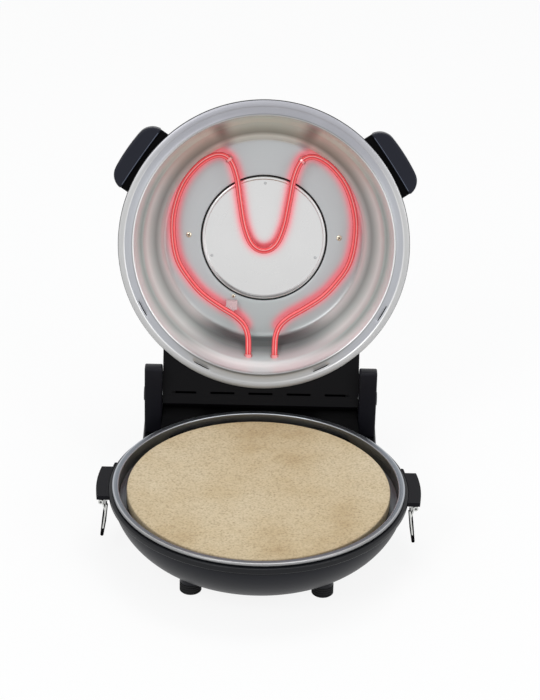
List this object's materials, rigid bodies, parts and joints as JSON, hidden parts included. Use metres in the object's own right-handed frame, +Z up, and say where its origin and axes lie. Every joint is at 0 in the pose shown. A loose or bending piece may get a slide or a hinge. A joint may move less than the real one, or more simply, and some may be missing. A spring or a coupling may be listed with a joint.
{
  "type": "electric pizza maker",
  "caption": "Electric pizza maker: round charcoal bowl base with a baking stone, hinged steel-lined lid standing open with a red looped heater.",
  "frame": {"origin": "centre of the round base, on the table under the feet", "axes": "+Z up, +Y towards the hinge and the open lid, -Y towards the user, +X to the user's right"},
  "size_m": [0.3748, 0.5178, 0.4417],
  "materials": {
    "bowl_plastic": "satin charcoal, darker below",
    "lip_plastic": "satin black",
    "gloss_black": "glossy black",
    "steel_sheet": "spun, satin",
    "pizza_stone": "matte cordierite",
    "dark_tube": "matte grey sheath",
    "plated_steel": "zinc plated",
    "rubber": "matte black",
    "pale_ceramic": "matte",
    "hinge_steel": "ground",
    "latch_steel": "bright, satin",
    "black_grip": "satin black",
    "lid_enamel": "satin black",
    "liner_steel": "spun, satin",
    "disc_steel": "plain, satin",
    "disc_black": "matte black",
    "hot_tube": "glowing red",
    "handle_plastic": "satin blue-grey charcoal",
    "neck_plastic": "satin black",
    "bush_nylon": "smooth",
    "lamp_red": "clear red"
  },
  "bodies": {
    "base": {"base_bowl": "bowl_plastic", "bowl_lip": "lip_plastic", "steel_pan": "steel_sheet", "lower_heater": "dark_tube", "heater_saddles": "steel_sheet", "lower_heater_bushings": "plated_steel", "heat_shield": "steel_sheet", "centre_bolt": "plated_steel", "bottom_hatch": "lip_plastic", "hatch_screws": "plated_steel", "foot_front_left": "rubber", "foot_front_right": "rubber", "foot_rear_left": "rubber", "foot_rear_right": "rubber", "foot_screws": "plated_steel", "rear_housing": "gloss_black", "rear_cover": "lip_plastic", "rear_cover_screws": "plated_steel", "cord_gland": "lip_plastic", "terminal_block": "pale_ceramic", "hinge_post_left": "gloss_black", "hinge_post_right": "gloss_black", "hinge_pin_left": "hinge_steel", "hinge_pin_right": "hinge_steel", "latch_ear_left": "bowl_plastic", "latch_ear_right": "bowl_plastic", "latch_pin_left": "hinge_steel", "latch_pin_right": "hinge_steel"},
    "lid": {"lid_shell": "lid_enamel", "lid_liner": "liner_steel", "reflector_disc": "disc_steel", "disc_carrier": "disc_black", "upper_heater": "hot_tube", "upper_heater_bushings": "plated_steel", "heater_bracket_left": "steel_sheet", "heater_bracket_right": "steel_sheet", "heater_clip": "pale_ceramic", "liner_screws": "plated_steel", "lid_handle_left": "handle_plastic", "lid_handle_right": "handle_plastic", "lid_neck": "neck_plastic", "neck_panel": "neck_plastic", "hinge_bush_left": "bush_nylon", "hinge_bush_right": "bush_nylon", "control_housing": "black_grip", "timer_unit": "plated_steel", "thermostat_unit": "plated_steel", "pilot_lamp": "lamp_red"},
    "stone": {"baking_stone": "pizza_stone"},
    "latch_left": {"latch_lever_left": "latch_steel", "latch_grip_left": "black_grip"},
    "latch_right": {"latch_lever_right": "latch_steel", "latch_grip_right": "black_grip"},
    "timer_knob": {"timer_knob": "black_grip"},
    "thermostat_knob": {"thermostat_knob": "black_grip"}
  },
  "joints": [
    {"name": "lid_hinge", "type": "hinge", "parent": "base", "child": "lid", "pos_m": [0, 0.185, 0.0966], "axis": [1, 0, 0], "range_deg": [0, 108]},
    {"name": "stone_lift", "type": "slide", "parent": "base", "child": "stone", "axis": [0, 0, 1], "range_m": [0, 0.012]},
    {"name": "latch_left_pivot", "type": "hinge", "parent": "base", "child": "latch_left", "pos_m": [-0.1808, -0.008, 0.0723], "axis": [0, 1, 0], "range_deg": [0, 100]},
    {"name": "latch_right_pivot", "type": "hinge", "parent": "base", "child": "latch_right", "pos_m": [0.1808, -0.008, 0.0723], "axis": [0, -1, 0], "range_deg": [0, 100]},
    {"name": "timer_turn", "type": "hinge", "parent": "lid", "child": "timer_knob", "pos_m": [-0.032, 0.32558, 0.24544], "axis": [0, 0.9511, -0.309], "range_deg": [-300, 0]},
    {"name": "thermostat_turn", "type": "hinge", "parent": "lid", "child": "thermostat_knob", "pos_m": [0.032, 0.32558, 0.24544], "axis": [0, 0.9511, -0.309], "range_deg": [-270, 0]}
  ]
}
